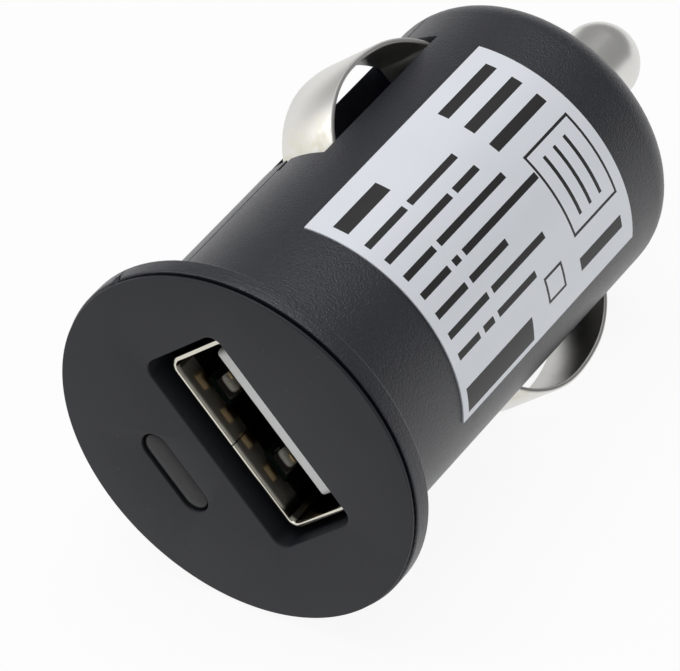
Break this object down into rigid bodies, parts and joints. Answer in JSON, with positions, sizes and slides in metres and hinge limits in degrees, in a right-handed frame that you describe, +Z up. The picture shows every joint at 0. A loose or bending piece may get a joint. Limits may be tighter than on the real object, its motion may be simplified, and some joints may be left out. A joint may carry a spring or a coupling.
{
  "type": "car usb charger plug",
  "caption": "Short cylindrical charger plug for a car's 12 V socket: round flanged face with a USB-A port and status lens, sprung side contacts and a sprung domed tip.",
  "frame": {"origin": "on the surface the plug lies on, under the middle of its box", "axes": "+Z up from that surface; +Y from the face towards the tip, along the plug as it lies; +X to the right, seen from the face"},
  "size_m": [0.0254, 0.0472, 0.0254],
  "materials": {
    "housing_plastic": "fine-grained dark blue-grey moulded plastic",
    "face_plastic": "fine-grained dark grey moulded plastic",
    "smoky_lens": "smoky translucent plastic",
    "port_steel": "bright nickel-plated sheet",
    "grey_insulator": "light grey moulded insulator",
    "gilt_contact": "thin gold plating",
    "board_laminate": "green solder mask over laminate",
    "nickel_plate": "satin nickel plating on spring sheet",
    "spring_steel": "plated spring wire",
    "capacitor_sleeve": "shrunk plastic sleeve over an aluminium can",
    "ferrite": "sintered ferrite",
    "copper_wire": "enamelled copper wire",
    "black_epoxy": "moulded black epoxy with tinned leads",
    "clear_epoxy": "water-clear epoxy",
    "chip_ceramic": "small chip parts",
    "label_film": "silvery satin film"
  },
  "bodies": {
    "plug": {"housing_label_half": "housing_plastic", "housing_lens_half": "housing_plastic", "face_plate": "face_plastic", "status_lens": "smoky_lens", "usb_shell": "port_steel", "usb_insulator": "grey_insulator", "usb_contact_power": "gilt_contact", "usb_contact_data_minus": "gilt_contact", "usb_contact_data_plus": "gilt_contact", "usb_contact_ground": "gilt_contact", "circuit_board": "board_laminate", "ground_spring_left": "nickel_plate", "ground_spring_right": "nickel_plate", "tip_spring": "spring_steel", "spring_terminal": "nickel_plate", "input_capacitor": "capacitor_sleeve", "output_capacitor": "capacitor_sleeve", "inductor_core": "ferrite", "inductor_winding": "copper_wire", "converter_ic": "black_epoxy", "rectifier_diode": "black_epoxy", "status_lamp": "clear_epoxy", "chip_parts": "chip_ceramic", "rating_label": "label_film"},
    "left_contact": {"contact_clip_left": "nickel_plate"},
    "right_contact": {"contact_clip_right": "nickel_plate"},
    "tip": {"tip_contact": "nickel_plate"}
  },
  "joints": [
    {"name": "tip_press", "type": "slide", "parent": "plug", "child": "tip", "axis": [0, -0.9972, 0.0747], "range_m": [0, 0.0025], "stiffness_N_per_m": 1200, "deforming": ["tip_spring"]},
    {"name": "left_contact_press", "type": "slide", "parent": "plug", "child": "left_contact", "axis": [0.6498, -0.0568, -0.7579], "range_m": [0, 0.0015], "stiffness_N_per_m": 1200, "deforming": ["ground_spring_left"]},
    {"name": "right_contact_press", "type": "slide", "parent": "plug", "child": "right_contact", "axis": [-0.6498, 0.0568, 0.7579], "range_m": [0, 0.0015], "stiffness_N_per_m": 1200, "deforming": ["ground_spring_right"]}
  ]
}
